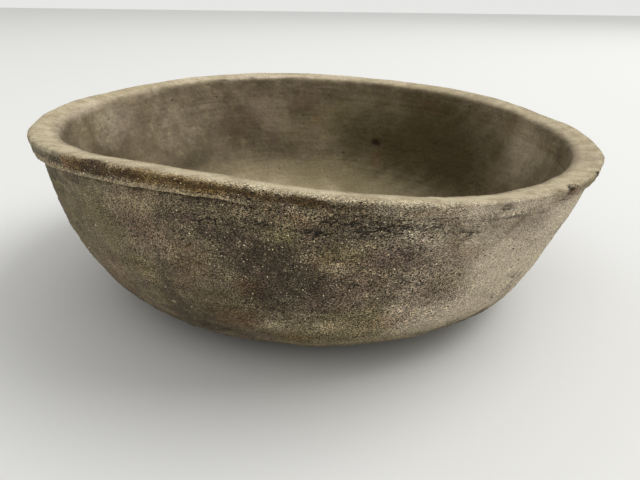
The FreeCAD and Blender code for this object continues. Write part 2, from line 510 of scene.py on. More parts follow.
def finishHeights(given, vector, down, skin):
    # what the hand, the tool and the coarse clay did to the surface
    seed = given["Seed"] * 0.37
    moved = vectorNode("ADD", vector, combined(seed, seed, seed))
    lump = signed(noise(moved, given["Lump size"], 1.5, 0.4), given["Lump height"])
    dab = signed(noise(moved, given["Dab size"], 2.0, 0.45), given["Dab height"])

    x, y = split(moved)[:2]
    around = given["Drag width"] / given["Drag length"]
    dragged = combined(x * around, y * around, down)
    drag = signed(noise(dragged, given["Drag width"], 2.0, 0.6), given["Drag depth"])

    grain = signed(noise(moved, given["Grain size"], 2.0, 0.6), given["Grain height"])
    away, chance = cellPoints(moved, given["Pit spacing"])
    chosen = mathNode("GREATER_THAN", chance[0], given["Pitless share"])
    pit = fade(away, 0.05, 0.19, 1.0, 0.0) * chosen * given["Pit depth"]

    # the lip is rubbed smooth, and the flat that the bowl stands on stays flat
    fromLip = mathNode("ABSOLUTE", down + 6 * mm)
    lipRub = fade(fromLip, 5 * mm, 9 * mm, given["Lip share"], 1.0)
    steady = skin * fade(split(vector)[2], 0.0, 3 * mm)
    return (dab * lipRub + lump) * steady, (drag + (grain - pit)) * lipRub * steady


def turnedTree():
    tree, given = geometryTree("handTurned", finish)

    # a sheet of columns and rows, each point of which takes its row's place
    values = {
        "Size X": 1.0, "Size Y": 1.0,
        "Vertices X": given["Columns"] + 1.0, "Vertices Y": given["Rows"],
    }
    shape = addNode(tree, "GeometryNodeMeshGrid", values, outs=("Mesh",))
    index = addNode(tree, "GeometryNodeInputIndex")
    row = mathNode("FLOORED_MODULO", index, given["Rows"])
    column = mathNode("FLOOR", (index + 0.5) / given["Rows"])
    column = mathNode("FLOORED_MODULO", column, given["Columns"])
    angle = column / given["Columns"] * (2 * math.pi)
    taken = {}
    for part in rowParts:
        values = {"Geometry": given["Geometry"], "Value": named(tree, part), "Index": row}
        taken[part] = addNode(tree, "GeometryNodeSampleIndex", values)

    group = waveGroup()
    wave = {name: waveSum(angle, group, waves) for name, waves in handWaves.items()}
    out, up = taken["out"], taken["up"]
    for part in ("plan", "wall", "belly", "lip", "fold"):
        out = taken[part] * wave[part] + out
    for part, name in (("level", "level"), ("band", "band"), ("bellyUp", "belly")):
        up = taken[part] * wave[name] + up
    cosine, sine = mathNode("COSINE", angle), mathNode("SINE", angle)
    faces = combined(taken["faceOut"] * cosine, taken["faceOut"] * sine, taken["faceUp"])
    shape = stored(shape, "faces", faces, "FLOAT_VECTOR")
    for part in ("skin", "down", "seam"):
        shape = stored(shape, part, taken[part])
    spot = combined(out * cosine, out * sine, up)
    shape = addNode(tree, "GeometryNodeSetPosition", {"Geometry": shape, "Position": spot})
    shape = addNode(tree, "GeometryNodeMergeByDistance", {"Geometry": shape, "Distance": 1e-6})

    # the finish moves each point of the skin along its facing
    vector = addNode(tree, "GeometryNodeInputPosition")
    broad, fine = finishHeights(given, vector, named(tree, "down"), named(tree, "skin"))
    shape = stored(shape, "relief", fine)
    offset = scaled(named(tree, "faces", "FLOAT_VECTOR"), broad + fine)
    shape = addNode(tree, "GeometryNodeSetPosition", {"Geometry": shape, "Offset": offset})
    onSkin = mathNode("GREATER_THAN", named(tree, "skin"), wholeSkin)
    offSeam = mathNode("LESS_THAN", named(tree, "seam"), wholeSkin)
    for domain, smooth in (("FACE", onSkin), ("EDGE", offSeam)):
        values = {"Geometry": shape, "Shade Smooth": smooth}
        shape = addNode(tree, "GeometryNodeSetShadeSmooth", values, domain=domain)
    endTree(shape, given["Clay"])
    return tree


def sweepPiece(name, rows, closed, tree, clay):
    # the section's rows become points that carry their parts, and the tree sweeps them round
    if closed:
        rows = np.concatenate([rows, rows[:1]])
    mesh = bpy.data.meshes.new(name + "Section")
    mesh.from_pydata([(0.0, 0.0, 0.0)] * len(rows), [], [])
    for part, column in zip(rowParts, rows.T):
        mesh.attributes.new(part, "FLOAT", "POINT").data.foreach_set("value", column.astype(np.float32))
    return runTree(name, mesh, tree, {"Rows": len(rows), "Clay": clay})


def paint(red, green, blue):
    # a colour as seen on screen, 0 to 255, made linear
    channels = [level / 255 for level in (red, green, blue)]
    linear = [c / 12.92 if c <= 0.04045 else ((c + 0.055) / 1.055) ** 2.4 for c in channels]
    return (*linear, 1.0)


def mixed(amount, first, second):
    values = {0: amount, 6: first, 7: second}
    return addNode(amount.tree, "ShaderNodeMix", values, (2,), data_type="RGBA", clamp_factor=True)


def readFloat(tree, name):
    settings = {"attribute_name": name, "attribute_type": "GEOMETRY"}
    return addNode(tree, "ShaderNodeAttribute", outs=("Fac",), **settings)


def startMaterial(name):
    material = bpy.data.materials.new(name)
    material.use_nodes = True
    return material, material.node_tree, material.node_tree.nodes["Principled BSDF"]


# fired clay: its colours, how far its places are pulled about and how large its grit and pores
# are, and the heights in its bumps
firedClay = {
    "body": paint(136, 123, 99),
    "deep": paint(94, 83, 64),
    "warm": paint(142, 122, 95),
    "tan": paint(172, 156, 123),
    "lip": paint(188, 175, 145),
    "lipShade": paint(155, 139, 110),
    "inside": paint(138, 125, 101),
    "floor": paint(150, 138, 108),
    "loam": paint(64, 54, 27),
    "insideDeep": paint(92, 81, 58),
    "olive": paint(122, 113, 74),
    "plum": paint(106, 84, 76),
    # a dark tone for soot stains, also used as painted shade in the fold under the rim band and in
    # hollows
    "soot": paint(46, 38, 26),
    "pitch": paint(25, 20, 13),
    "umber": paint(72, 53, 27),
    "amber": paint(124, 99, 55),
    "rust": paint(138, 99, 62),
    "cream": paint(224, 210, 174),
    "ash": paint(206, 191, 166),
    "bendSize": 9 * mm,
    "bend": 6 * mm,
    "crumbSize": 0.36 * mm,
    "crumb": 0.6 * mm,
    "grit": 0.66 * mm,
    "pore": 2.3 * mm,
    "bump": 0.32 * mm,
    "gritBump": 0.22 * mm,
    "crackBump": 0.3 * mm,
    "wipeBump": 0.09 * mm,
    "roughness": 0.9,
    "specular": 0.3,
}

# how much of the way round is left in the places that a drawn-out noise is taken over
drawnShares = {"wiped": 0.09, "lying": 0.32, "slanted": 0.3, "streaked": 0.84}

# the noises: over which places, how large, in how many steps and how rough, and moved how far
clayNoises = {
    "ragged": ("bent", 5.5 * mm, 5.0, 0.68),
    "cloud": ("bent", 34 * mm, 4.0, 0.55),
    "cloudLow": ("bent", 34 * mm, 3.0, 0.5, (0.31, 0.17, 0.43)),
    "mottle": ("bent", 8 * mm, 5.0, 0.62, (0.7, 0.2, 0.9)),
    "fleck": ("vector", 1.7 * mm, 3.0, 0.65),
    "wipe": ("wiped", 2.1 * mm, 4.0, 0.6),
    "swipe": ("lying", 7 * mm, 5.0, 0.6),
    "grain": ("streaked", 0.62 * mm, 3.0, 0.72),
    "dust": ("streaked", 0.46 * mm, 3.0, 0.75, (0.4, 0.8, 0.1)),
    "crack": ("lying", 3.4 * mm, 5.0, 0.7),
    "crackGroup": ("lying", 12 * mm, 2.0, 0.5),
    "tear": ("slanted", 1.7 * mm, 3.0, 0.65, (0.2, 0.6, 0.3)),
    "rubble": ("vector", 0.9 * mm, 3.0, 0.65),
}

# the tones laid over each zone's first one in turn: which, by which field, from where to where
# it comes in, and how much of it at the most
zoneTones = {
    "wall": [
        ("body", "cloud", 0.36, 0.64, 1.0),
        ("warm", "cloudLow", 0.5, 0.68, 0.75),
        ("tan", "mottle", 0.5, 0.66, 0.45),
        ("plum", "mottle", 0.46, 0.32, 0.6),
        ("olive", "cloudStep", 0.04, 0.2, 0.6),
        ("tan", "swipe", 0.52, 0.68, 0.38),
        ("deep", "swipe", 0.48, 0.34, 0.45),
        ("tan", "scuffed", 0.2, 0.8, 0.75),
    ],
    "lip": [
        ("lipShade", "mottle", 0.58, 0.38, 0.7),
        ("tan", "wipe", 0.56, 0.74, 0.45),
    ],
    "inside": [
        ("inside", "cloud", 0.3, 0.7, 1.0),
        ("tan", "mottle", 0.5, 0.74, 0.3),
        ("plum", "mottle", 0.5, 0.3, 0.35),
        ("floor", "raggedDown", -66 * mm, -77 * mm, 0.6),
    ],
}

# the stains in the order they're laid: the tone each brings in, and how much at the most
stainTones = {
    "pale": ("tan", 0.85),
    "ash": ("ash", 0.95),
    "olive": ("olive", 0.7),
    "plum": ("plum", 0.75),
    "rust": ("rust", 0.8),
    "loam": ("loam", 0.9),
    "soot": ("soot", 0.8),
    "amber": ("amber", 0.9),
    "umber": ("umber", 0.9),
    "chalk": ("cream", 0.6),
}


def tint(color, tone, field, low, high, most):
    return mixed(fade(field, low, high, 0.0, most), color, firedClay[tone])


def bumpOf(height):
    # the height is true, in metres
    return addNode(height.tree, "ShaderNodeBump", {"Strength": 1.0, "Distance": 1.0, "Height": height})


def drawnOut(at, name, height):
    share = drawnShares[name]
    return combined(at.x * share, at.y * share, height)


def noiseOver(at, name):
    over, size, detail, roughness, *moves = clayNoises[name]
    vector = getattr(at, over)
    for move in moves:
        vector = vectorNode("ADD", vector, move)
    return noise(vector, size, detail, roughness)


def clayFields(tree):
    # what the colours and heights are worked out from, at each point of the skin
    at = SimpleNamespace()
    at.vector = addNode(tree, "ShaderNodeTexCoord", outs=("Object",))
    at.down = readFloat(tree, "down")
    at.relief = readFloat(tree, "relief")
    # the stains, with the painted fold shade and ledge highlight among them
    at.stain = {name: readFloat(tree, name) for name in stains}

    # everything is pulled about a little, so no edge of a stain is even
    at.bent = pulled(at.vector, firedClay["bendSize"], firedClay["bend"], 3.0)
    at.x, at.y, at.z = split(at.bent)
    at.ragged = noiseOver(at, "ragged")
    at.raggedDown = signed(at.ragged, 2.2 * mm) + at.down
    at.outside = fade(at.raggedDown, -2.6 * mm, 2.6 * mm)
    at.inside = fade(at.raggedDown, -9 * mm, -15 * mm)
    at.gritty = fade(at.raggedDown, -6 * mm, 0.5 * mm, 0.24, 1.0)
    at.rising = at.x * 0.3 + at.down
    at.wiped = drawnOut(at, "wiped", at.down)
    at.lying = drawnOut(at, "lying", at.down)
    for name in ("cloud", "cloudLow", "mottle", "fleck", "wipe", "swipe"):
        setattr(at, name, noiseOver(at, name))
    at.cloudStep = at.cloud - at.cloudLow
    at.scuffed = fade(at.z, 3.4 * mm, 0.4 * mm, 0.0, 1.3) - at.ragged * 0.9  # where the foot wears
    return at


def zoneColor(at, first, zone):
    color = firedClay[first]
    for tone, field, low, high, most in zoneTones[zone]:
        color = tint(color, tone, getattr(at, field), low, high, most)
    return color


def layStains(at, color):
    # stains from the fire and from use, and a painted highlight along the ledge, each laid down where the
    # piece says
    frayed = signed(at.ragged * 0.6 + at.mottle * 0.4, 0.9) * fade(at.inside, 0.0, 1.0, 1.0, 0.4)
    for name, (tone, most) in stainTones.items():
        stain = at.stain[name]
        color = tint(color, tone, frayed * fade(stain, 0.0, 0.2) + stain, 0.06, 0.95, most)
    return color


def layGrit(at, color):
    # fine mottling, then the grit that shows through the worn skin
    color = scaled(color, swung(at.fleck, 0.75) * swung(at.wipe, 0.35))
    rough = at.gritty * fade(at.stain["worn"], 0.0, 1.0, 0.55, 1.75)
    crumbled = pulled(at.vector, firedClay["crumbSize"], firedClay["crumb"], 2.0)
    away, chance = cellPoints(crumbled, firedClay["grit"])
    near = fade(away / (chance[2] * 0.36 + 0.14), 1.0, 0.7)
    light = fade(chance[0], 0.86, 0.95) * near
    at.streaked = drawnOut(at, "streaked", at.rising)
    grain = noiseOver(at, "grain")
    color = mixed(fade(grain, 0.49, 0.39) * (rough * 0.72), color, firedClay["soot"])
    color = mixed(light * (rough * 0.62), color, firedClay["cream"])
    speck = (noiseOver(at, "dust") - 0.49) * (rough * 9.6) + 1.0
    stones = (light * 0.7 + (grain - 0.5) * 3.0) * at.gritty
    return scaled(color, mathNode("MAXIMUM", speck, 0.15)), stones


def veins(field, wide, narrow):
    # thin lines where a noise crosses its middle
    return fade(mathNode("ABSOLUTE", field - 0.5), wide, narrow)


def layCracks(at, color):
    # painted shade along the fold under the rim band; fine cracks and pores are painted dark, and the
    # hollows of pressed marks and grain are painted darker as shade
    color = tint(color, "soot", swung(at.ragged, 1.2, at.stain["crease"]), 0.15, 0.8, 0.7)
    where = fade(noiseOver(at, "crackGroup"), 0.56, 0.68, 0.0, 0.8) * at.outside
    at.slanted = drawnOut(at, "slanted", at.rising)
    torn = veins(noiseOver(at, "tear"), 0.06, 0.022) * fade(at.stain["fissure"], 0.05, 0.65)
    crack = mathNode("MAXIMUM", veins(noiseOver(at, "crack"), 0.022, 0.006) * where, torn)
    color = mixed(crack * 0.92, color, firedClay["pitch"])
    away, chance = cellPoints(at.bent, firedClay["pore"])
    pore = fade(away, 0.2, 0.1) * fade(chance[0], 0.55, 0.75) * at.gritty
    color = mixed(pore * 0.7, color, firedClay["soot"])
    # painted shade: hollows of grain, pits and pressed marks are darkened by their depth, and raised
    # grain is painted lighter
    color = tint(color, "soot", at.relief, -0.25 * mm, -1.2 * mm, 0.85)
    return tint(color, "tan", at.relief, 0.12 * mm, 0.5 * mm, 0.25), pore + crack


def clayHeight(at, stones, hollows):
    clay = firedClay
    height = noiseOver(at, "rubble") * clay["bump"] + stones * clay["gritBump"]
    return height - hollows * clay["crackBump"] + at.wipe * clay["wipeBump"]


def clayGroup():
    tree = bpy.data.node_groups.new("firedClay", "ShaderNodeTree")
    for name, kind in (("Color", "Color"), ("Roughness", "Float"), ("Normal", "Vector")):
        addSocket(tree, "OUTPUT", name, kind)
    at = clayFields(tree)
    color = mixed(at.outside, zoneColor(at, "lip", "lip"), zoneColor(at, "deep", "wall"))
    color = mixed(at.inside, color, zoneColor(at, "insideDeep", "inside"))
    color, stones = layGrit(at, layStains(at, color))
    color, hollows = layCracks(at, color)
    bump = bumpOf(clayHeight(at, stones, hollows))
    dull = swung(at.fleck, 0.14, firedClay["roughness"]) - (1.0 - at.gritty) * 0.08
    addNode(tree, "NodeGroupOutput", {"Color": color, "Roughness": dull, "Normal": bump}, outs=())
    return tree


def clayMaterial(name, group):
    material, tree, shader = startMaterial(name)
    outs = ("Color", "Roughness", "Normal")
    color, dull, bump = addNode(tree, "ShaderNodeGroup", outs=outs, node_tree=group)
    plug(shader, {"Base Color": color, "Roughness": dull, "Normal": bump})
    plug(shader, {"Specular IOR Level": firedClay["specular"]})
    return material


# crushed stone in the clay, where it stands proud of the outer skin
temper = {
    "Density": 44000.0,
    "Smallest": 0.13 * mm,
    "Largest": 0.62 * mm,
    "Sunk": 0.30,
    "Seed": 11,
    "Stone": "Material",
}

# the stones' colours, each from where a stone's tone passes between two values
stoneTones = [
    (0.30, 0.38, paint(120, 106, 84)),
    (0.62, 0.68, paint(176, 161, 130)),
    (0.93, 0.95, paint(238, 229, 202)),
    (1.02, 1.03, paint(150, 96, 58)),
]
darkStone = paint(48, 41, 32)


def randomFloat(tree, low, high, seed):
    values = {2: low, 3: high, 8: seed}
    return addNode(tree, "FunctionNodeRandomValue", values, (1,), data_type="FLOAT")


def temperTree(names):
    tree, given = geometryTree("temperGrit", {**temper, **dict.fromkeys(names, "Object")})
    shells = []
    for name in names:
        values = {"Object": given[name]}
        shells.append(addNode(tree, "GeometryNodeObjectInfo", values, outs=("Geometry",)))
    joined = addNode(tree, "GeometryNodeJoinGeometry", {0: shells})
    position = addNode(tree, "GeometryNodeInputPosition")
    wanted = fade(named(tree, "down"), -1.5 * mm, 3 * mm) * fade(split(position)[2], 4 * mm, 9 * mm)
    wanted = wanted * mathNode("GREATER_THAN", named(tree, "skin"), 0.99)
    wanted = wanted * fade(noise(position, 16 * mm), 0.3, 0.62, 0.3, 1.0)
    values = {"Mesh": joined, "Density": wanted * given["Density"], "Seed": given["Seed"]}
    spread = ("Points", "Normal")
    points, normal = addNode(tree, "GeometryNodeDistributePointsOnFaces", values, outs=spread)

    chance = mathNode("POWER", randomFloat(tree, 0.0, 1.0, 3), 4.5)
    points = stored(points, "size", chance * (given["Largest"] - given["Smallest"]) + given["Smallest"])
    tone = signed(noise(position, 9 * mm), 0.2) + randomFloat(tree, 0.0, 1.0, 5)
    points = stored(points, "tone", tone)
    size = named(tree, "size")
    offset = scaled(normal, size * given["Sunk"] * -1.0)
    points = addNode(tree, "GeometryNodeSetPosition", {"Geometry": points, "Offset": offset})
    stone = addNode(tree, "GeometryNodeMeshIcoSphere", {"Radius": 1.0, "Subdivisions": 1}, outs=("Mesh",))
    shape = combined(*[size * randomFloat(tree, 0.65, 1.2, seed) for seed in (21, 22, 23)])
    lean = combined(*[randomFloat(tree, 0.0, 2 * math.pi, seed) for seed in (31, 32, 33)])
    values = {"Points": points, "Instance": stone, "Scale": shape, "Rotation": lean}
    endTree(addNode(tree, "GeometryNodeInstanceOnPoints", values), given["Stone"])
    return tree


def stoneMaterial():
    material, tree, shader = startMaterial("temperStone")
    tone = readFloat(tree, "tone")
    color = darkStone
    for low, high, shade in stoneTones:
        color = mixed(fade(tone, low, high), color, shade)
    worn = noise(addNode(tree, "ShaderNodeTexCoord", outs=("Object",)), 0.3 * mm, 2.0, 0.6)
    plug(shader, {
        "Base Color": scaled(color, swung(worn, 0.7)),
        "Roughness": worn * 0.3 + 0.6,
        "Normal": bumpOf(worn * (0.06 * mm)),
    })
    return material


def scatterTemper(pieces):
    mesh = bpy.data.meshes.new("temperSource")
    return runTree("temper_grit", mesh, temperTree(pieces), {**pieces, "Stone": stoneMaterial()})


# Pressed and torn marks: turn in degrees, how far down the outside (less than 0 is over the
# lip and inside), half length, half width and depth in millimetres, and tilt in degrees if any.
marks = [
    (-86.6, 12.2, 3.6, 1, 0.45, -9), (-84.4, 11.6, 2.4, 0.9, 0.4, 4),
    (-82.4, 14.6, 3, 1, 0.45, -12), (-80, 13.8, 3.6, 0.9, 0.45, -5),
    (-77.9, 14.4, 2.2, 0.9, 0.35, 6), (-88.9, 17.4, 3, 0.7, 0.3, 3),
    (-104, 18.6, 4.2, 0.8, 0.5, -6), (-101.4, 17.6, 2.2, 0.6, 0.4, 5),
    (-93, 15.5, 4, 0.9, 0.35, 5), (-70, 15.5, 4.5, 1, 0.4, 5), (-62.9, 0.8, 2, 0.7, 0.22, 30),
    (-62, 2.6, 1.4, 0.7, 0.25, -25), (-64.4, 3.4, 1.2, 0.7, 0.2, 10), (-47.9, 1, 2.6, 1.3, 1.3, 60),
    (-48.3, -1, 2.2, 0.9, 0.8, -15), (-49, -2.8, 1.6, 0.9, 0.8, 35), (-52, -1.6, 1.2, 1, 1),
    (-36.7, 0.2, 1.8, 1.2, 1.2, 70), (-70.7, 42.3, 1.2, 1, 1), (68, -56.6, 3.9, 3, 1.7, 18),
    (66.6, -57.6, 2.4, 2.2, 0.9, -30), (47, -20, 2, 1, 0.4), (147, -18, 2, 1.1, 0.4, 10),
    (127, 16, 6, 0.9, 0.8, -5), (140, 33, 1.4, 1.1, 0.9), (62, 22, 5, 0.9, 0.8, 4),
    (25, 15.5, 4, 0.8, 0.7, -3), (10, 1, 2, 1.3, 1, 25), (95, 58, 1.6, 1.2, 0.9),
    (170, 45, 3, 0.9, 0.7, 12),
]

# Stains, and the painted fold shade and ledge highlight, in the same way, with how strong each is in
# place of a depth.
stains = {
    "soot": [
        (-95, 37, 20, 26, 0.68), (-95.5, 31, 13, 10, 0.95), (-92, 38, 11, 8, 0.9, -10),
        (-96, 49, 13, 8, 0.9), (-78, 26, 10, 4, 0.35, -6), (-80, 49, 11, 4, 0.4), (-90, 54, 11, 4, 0.6),
        (-75, 21, 10, 4, 0.25, 4), (-100, 23, 14, 8, 0.6), (-93.5, 46, 6, 9, 0.95),
        (-90, 17, 12, 4, 0.4), (-104, 68, 16, 9, 0.45), (-82, 14, 12, 3, 0.3), (-108, 52, 18, 14, 0.35),
        (-76, 25, 11, 7, 0.5, -8), (68, -56.6, 3.6, 3, 0.9, 18), (66, -54, 8, 9, 0.5),
        (140, -64, 44, 6, 0.4), (172, -66, 30, 12, 0.3), (100, -14, 9, 3, 0.5), (122, -13, 4, 2, 0.6),
        (70, -14, 10, 3, 0.45), (112, -12, 2.4, 1.6, 0.7), (-102, 60, 30, 22, 0.5),
        (-108, 44, 18, 12, 0.3), (-82, 60, 16, 10, 0.25), (100, -66, 40, 12, 0.35),
        (55, 40, 26, 20, 0.6, 15), (118, 60, 30, 14, 0.5, -10), (170, 30, 18, 16, 0.45),
        (0, 48, 24, 12, 0.4, -20), (90, 20, 20, 8, 0.35, 5), (-112, 74, 34, 8, 0.4),
        (-140, 70, 40, 12, 0.3),
    ],
    "loam": [
        (45, -54, 62, 38, 0.95), (72, -52, 26, 26, 0.7), (24, -66, 40, 22, 0.7), (64, -48, 10, 14, 0.5),
        (100, -54, 40, 12, 0.35), (84, -22, 26, 9, 0.35), (38, -22, 30, 10, 0.4),
        (131, -71, 26, 14, 0.4),
    ],
    "umber": [
        (-122.5, 0.8, 9, 3.2, 1.6), (-116, 1.2, 9, 2.4, 1.1), (-107, 0.7, 13, 2, 0.75),
        (-91.5, 1.2, 10, 2.6, 1.1), (-99, 0.7, 12, 1.9, 0.9), (-134, 1.6, 7, 2.2, 0.4),
        (-86, 2.6, 8, 2.4, 0.6), (35, 1.6, 20, 3, 0.9), (120, 1.8, 26, 3, 0.7),
        (160, 12, 14, 4, 0.4), (67.4, -56.8, 5.6, 5.2, 0.8, 10), (64, -50, 5, 7, 0.4),
        (62, -66, 5, 6, 0.35), (-48.4, -0.2, 3, 2.8, 0.8, 40), (-36.7, 0.4, 2, 1.4, 0.6),
        (-51.8, -1.6, 1.2, 1, 0.8),
    ],
    "amber": [
        (-108, 0.7, 32, 3.2, 1), (-126.5, 1, 8, 3.4, 0.8), (-93, 0.8, 12, 3, 0.6),
        (45, 1.4, 30, 3.4, 0.7), (130, 1.4, 30, 3.2, 0.6), (-74.5, 3.2, 10, 2.6, 0.5),
    ],
    "rust": [
        (-109, 38, 10, 8, 0.4, 10), (-103, 65, 12, 8, 0.5), (-99, 46, 8, 5, 0.5),
        (-76, 60, 11, 5, 0.5, -10), (-88, 30, 9, 4, 0.35), (-120, 48, 9, 6, 0.25), (-66, 26, 9, 4, 0.4),
        (-93, 74, 12, 4, 0.5), (-130, 1.6, 4.4, 3.2, 1), (-47.6, 1.4, 5, 4, 0.55, 20),
        (-91.5, 13.5, 11, 4.4, 0.36), (-97, 8.5, 14, 2.4, 0.4), (-86.7, 64.6, 2, 1.6, 0.8),
        (66, -70, 6, 10, 0.5), (90, -42, 8, 7, 0.3), (20, 30, 14, 10, 0.4), (150, 62, 16, 10, 0.5),
        (96, -30, 6, 4, 0.3), (50, -24, 14, 7, 0.4),
    ],
    "plum": [
        (-84, 42, 22, 16, 0.5), (-70, 36, 18, 14, 0.4), (-98, 26, 14, 8, 0.5), (-77, 26, 16, 7, 0.7),
        (-70, 47, 14, 8, 0.6), (-88, 52, 16, 5, 0.6), (-97, 40, 9, 14, 0.5), (-118, 30, 16, 10, 0.5),
        (115, -36, 26, 20, 0.4), (160, -30, 18, 14, 0.35), (80, 46, 24, 16, 0.5), (-57, 18, 20, 8, 0.4),
        (-26, -8, 26, 7, 0.36), (92, -26, 24, 9, 0.4), (128, -26, 16, 8, 0.35),
    ],
    "olive": [
        (-128, 36, 26, 20, 0.12), (-118, 58, 24, 12, 0.25), (-66, 72, 26, 9, 0.4, -10),
        (75, -92, 60, 24, 0.5), (-30, 36, 22, 22, 0.4), (145, 40, 26, 18, 0.5), (-86, 28, 10, 6, 0.7),
        (-103, 52, 14, 9, 0.5), (-68, 40, 12, 6, 0.5), (-82, 64, 20, 5, 0.5), (-95, 19, 10, 5, 0.5),
        (60, -46, 80, 34, 0.7), (10, -40, 40, 30, 0.4), (-140, -84, 60, 12, 0.5),
    ],
    "ash": [
        (8, -34, 22, 22, 0.5), (140, -110, 90, 24, 0.6), (-60, -110, 90, 24, 0.4),
        (60, -152, 44, 34, 0.4, 20), (-40, -140, 24, 20, 0.35), (176, -13, 30, 5, 0.5),
        (-160, -13, 30, 4, 0.4), (150, -13, 20, 4, 0.35), (-52, 40, 34, 30, 1.2, -30),
        (-66, 40, 18, 16, 0.5, -20), (-61, 62, 26, 10, 1, -24), (-47, 20, 24, 16, 1),
        (-62, 14, 20, 8, 0.5), (-62, 5, 42, 8, 0.8), (-28, 50, 24, 36, 0.8), (28, 66, 34, 10, 0.4),
        (100, 70, 40, 9, 0.5), (178, 60, 30, 12, 0.5), (-56, 30, 20, 18, 0.8),
        (-66, 58, 26, 18, 0.8, -20), (-40, 60, 26, 20, 1), (-74, 20, 18, 14, 0.5),
        (-72, 42, 14, 20, 0.45), (-82, 17, 10, 6, 0.35), (-64, 22, 16, 14, 0.65),
        (166, -27, 24, 14, 0.45), (140, -40, 30, 22, 0.3), (-70, 3, 12, 5, 0.5),
        (104, -10.5, 44, 3.2, 0.7), (112, -6, 26, 5, 0.7), (84, -6, 20, 5, 0.7), (132, -6, 14, 5, 0.6),
        (64, -7, 12, 4, 0.6),
    ],
    "pale": [
        (-97, 66, 9, 5, 0.8), (-86, 65, 12, 4.4, 0.7), (-130, 22, 12, 5, 0.4), (-66, 42, 14, 8, 0.5),
        (-86.5, 31.5, 10, 5, 0.5), (-90, 36, 8, 3, 0.4), (-81, 36, 12, 5, 0.3), (-101, 42, 8, 5, 0.4),
        (-112, 15, 34, 2.4, 0.35), (-84, 80, 60, 4, 0.5), (120, -108, 80, 26, 0.7),
        (-60, -104, 80, 24, 0.5), (20, -158, 70, 40, 0.55), (-150, -150, 60, 34, 0.5),
        (105, 35, 16, 18, 0.5, 30), (178, -24, 20, 12, 0.3), (30, 70, 40, 10, 0.5),
        # the narrow entries near 5 to 6 mm down, at the end of this line and on the next, are a painted
        # highlight along the rolled lower edge of the rim band's ledge, which is also rubbed paler
        (10, -24, 46, 12, 0.5), (-138, 4.7, 30, 1.6, 1.1), (-110, 5.6, 34, 1.7, 1.1),
        (90, 6, 60, 1.6, 0.6), (160, 6, 50, 1.6, 0.6), (-72, 30, 16, 8, 0.3), (100, -7, 70, 7, 0.5),
        (58, -7, 40, 7, 0.55), (150, -6, 40, 5, 0.5),
    ],
    "chalk": [
        (-116, 62, 1.3, 0.9, 0.8), (-40, 20, 20, 14, 0.3), (-45, 48, 20, 14, 0.3),
        (-96.5, 65, 5, 3.4, 0.5), (-87, 63.5, 6, 3, 0.45), (-86.3, 32, 5, 3, 0.4),
        (-94, 49, 5, 3, 0.35), (-78, 31, 1.2, 1, 0.9),
    ],
    # painted shade: a dark line in the fold under the rim band's ledge, where its shadow falls
    "crease": [
        (-142, 9.6, 110, 2, 1), (60, 10, 240, 2, 0.8), (-63, 11.2, 24, 1, 0.55, 2),
    ],
    "fissure": [
        (-86.4, 12.6, 7, 1.5, 1.2, -8), (-80, 14.6, 11, 2.2, 1.2, -5), (-74.5, 13, 6, 1.2, 0.7, 4),
        (-89.4, 17.4, 6, 1.3, 1, 4), (-84, 18.4, 7, 1.2, 0.6, -5), (-104, 18.8, 6, 1.3, 1, -5),
        (-97, 16, 8, 1.2, 0.7, 4), (-68, 16, 8, 1.2, 0.6, 3), (-62.8, 2, 4.4, 3.2, 0.5, 25),
        (-48, 0, 3.6, 3.8, 1.1, 45), (-36.7, 0.4, 2.6, 2, 0.8, 60), (127, 16, 9, 1.6, 0.9, -5),
        (62, 22, 8, 1.5, 0.9, 4), (170, 45, 6, 1.4, 0.8, 12), (25, 15.5, 7, 1.4, 0.8, -3),
    ],
    "worn": [
        (-91, 19, 50, 28, 1.1), (-86, 42, 46, 32, 1), (-100, 4, 36, 6, 0.7), (112, 26, 70, 30, 0.9),
        (10, 34, 50, 26, 0.6), (176, 30, 40, 24, 0.6), (-116, 30, 34, 30, 0.5), (-124, 2, 34, 5, 0.9),
        (-112, 1, 30, 4, 0.6),
    ],
}


# Rings pressed or rolled in round the rim: down and half width in millimetres, height, then
# the turn where it is strongest and how far round it lasts, in degrees.
rings = [
    (1.4, 2.8, -0.45, -118, 60),
    (5.4, 1.9, 0.5, -128, 60),
    (10.4, 1.5, -0.6, -135, 65),
    (7.2, 2.4, -0.7, -62, 50),
    (2.4, 2.6, -0.3, 80, 90),
    (6.0, 1.9, 0.3, 60, 100),
    (10.4, 1.5, -0.5, 70, 100),
    (5.8, 3.4, -1.1, 177, 40),
]

# where clay is smeared over the fold: turn and how far round in degrees, how thick it lies,
# between which depths it starts, from where it thins out and over what length
smear = {
    "turn": -73,
    "lasts": 43,
    "depth": 2.0 * mm,
    "starts": (7.8 * mm, 9.8 * mm),
    "thins": 12 * mm,
    "reach": 34 * mm,
}

# how uneven the edges of spots are: slow and quick waves by place, and how much of each shows
fraying = {
    "slow": ([[143, 61], [-88, 167], [109, -124]], [0.4, 1.9]),
    "quick": ([[311, -233], [257, 292], [-241, 329]], [2.2, 0.8]),
    "quickShare": 0.6,
    "fine": ([[2100, -1500], [1300, 2300], [-900, 1900]], [0.0, 0.7]),
    "wobble": 0.12,
    "fray": 0.22,
}


def turnOf(places):
    return np.arctan2(places[:, 1], places[:, 0])


def turnFrom(turn, degrees):
    # how far round from there, the short way, in radians
    return (turn - math.radians(degrees) + math.pi) % (2 * math.pi) - math.pi


def smearOut(places, down):
    # clay dragged over the fold lets the band run into the wall on that side
    turn = turnOf(places)
    apart = np.abs(turnFrom(turn, smear["turn"]))
    amount = smear["depth"] * fadeOf(-apart / math.radians(smear["lasts"]), -1.0, -0.45)
    amount *= fadeOf(down, *smear["starts"])
    amount *= 1 - fadeOf(down, smear["thins"], smear["thins"] + smear["reach"])
    outward = np.column_stack([np.cos(turn), np.sin(turn), np.zeros(len(turn))])
    return outward * amount[:, None]


